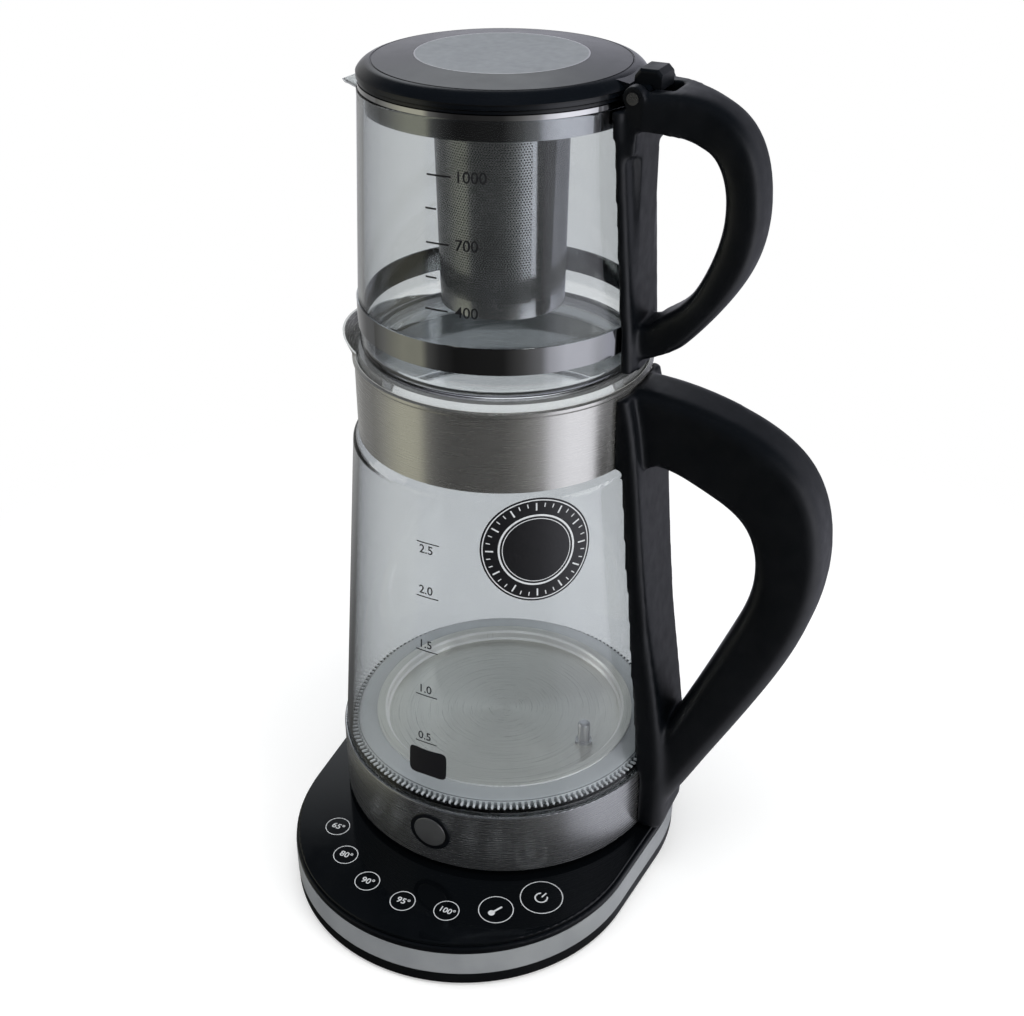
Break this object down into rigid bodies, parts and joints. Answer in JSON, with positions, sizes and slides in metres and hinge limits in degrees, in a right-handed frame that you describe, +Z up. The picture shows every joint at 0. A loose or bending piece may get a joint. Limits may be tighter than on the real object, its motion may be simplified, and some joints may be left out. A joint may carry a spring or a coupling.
{
  "type": "automatic tea maker",
  "caption": "Powered tea maker: a glass kettle on a base with touch keys, and a glass teapot with infuser and hinged lid standing in the kettle's mouth.",
  "frame": {"origin": "on the kettle's axis, at the surface under the feet", "axes": "+Z up; +X towards both handles; -Y towards the touch keys and the push button"},
  "size_m": [0.2555, 0.236, 0.414],
  "materials": {
    "black_cover": "fine moulded texture",
    "black_rubber": "matt",
    "screw_steel": "plain",
    "silver_trim": "satin silver",
    "gloss_black": "high gloss",
    "satin_black": "satin",
    "connector_black": "matt",
    "contact_brass": "plain",
    "circuit_board": "varnished board",
    "spring_steel": "plain wire",
    "component_grey": "moulded",
    "brushed_steel": "brushed round the axis",
    "polished_steel": "mirror polished",
    "perforated_steel": "perforated sheet",
    "kettle_glass": "clear borosilicate",
    "teapot_glass": "clear borosilicate",
    "clear_silicone": "translucent silicone",
    "aluminium": "cast",
    "lid_grey": "satin grey disc"
  },
  "bodies": {
    "power_base": {"base_bottom_cover": "black_cover", "base_feet": "black_rubber", "base_screws": "screw_steel", "base_trim_band": "silver_trim", "base_upper_housing": "satin_black", "base_touch_plate": "gloss_black", "base_connector": "connector_black", "base_contacts": "contact_brass", "touch_board": "circuit_board", "touch_springs": "spring_steel", "power_board": "circuit_board", "relay": "component_grey", "transformer": "component_grey", "cord_gland": "black_rubber"},
    "round_connector": {"kettle_connector": "connector_black", "connector_pins": "contact_brass"},
    "kettle": {"kettle_bottom_cover": "black_cover", "kettle_base_ring": "brushed_steel", "button_bezel": "satin_black", "button_spring": "spring_steel", "button_switch": "component_grey", "switch_bracket": "aluminium", "clamp_ring": "aluminium", "glass_gasket": "clear_silicone", "kettle_glass": "kettle_glass", "heating_plate": "brushed_steel", "temperature_probe": "polished_steel", "probe_nut": "screw_steel", "heat_spreader": "aluminium", "heating_element": "aluminium", "thermal_cutouts": "component_grey", "kettle_collar": "brushed_steel", "collar_gasket": "clear_silicone", "mouth_seal": "clear_silicone", "kettle_handle": "satin_black", "handle_screws": "screw_steel"},
    "push_button": {"button_cap": "brushed_steel", "button_stem": "connector_black"},
    "teapot": {"teapot_glass": "teapot_glass", "teapot_band": "polished_steel", "teapot_handle": "satin_black", "teapot_handle_screw": "screw_steel", "hinge_pin": "screw_steel", "infuser_collar": "polished_steel", "infuser_tube": "perforated_steel", "infuser_rim": "polished_steel", "infuser_cup": "perforated_steel"},
    "lid": {"lid_shell": "satin_black", "lid_disc": "lid_grey", "lid_inner_cover": "satin_black", "lid_seal": "clear_silicone", "thumb_lever": "satin_black"}
  },
  "joints": [
    {"name": "kettle_lift", "type": "slide", "parent": "power_base", "child": "round_connector", "axis": [0, 0, 1], "range_m": [0, 0.12]},
    {"name": "kettle_turn", "type": "hinge", "parent": "round_connector", "child": "kettle", "pos_m": [0, 0, 0.03], "axis": [0, 0, 1], "continuous": true},
    {"name": "button_press", "type": "slide", "parent": "kettle", "child": "push_button", "axis": [0, 1, 0], "range_m": [0, 0.0015], "stiffness_N_per_m": 1200},
    {"name": "teapot_lift", "type": "slide", "parent": "kettle", "child": "teapot", "axis": [0, 0, 1], "range_m": [0, 0.1]},
    {"name": "lid_hinge", "type": "hinge", "parent": "teapot", "child": "lid", "pos_m": [0.066, 0, 0.405], "axis": [0, 1, 0], "range_deg": [0, 80]}
  ]
}
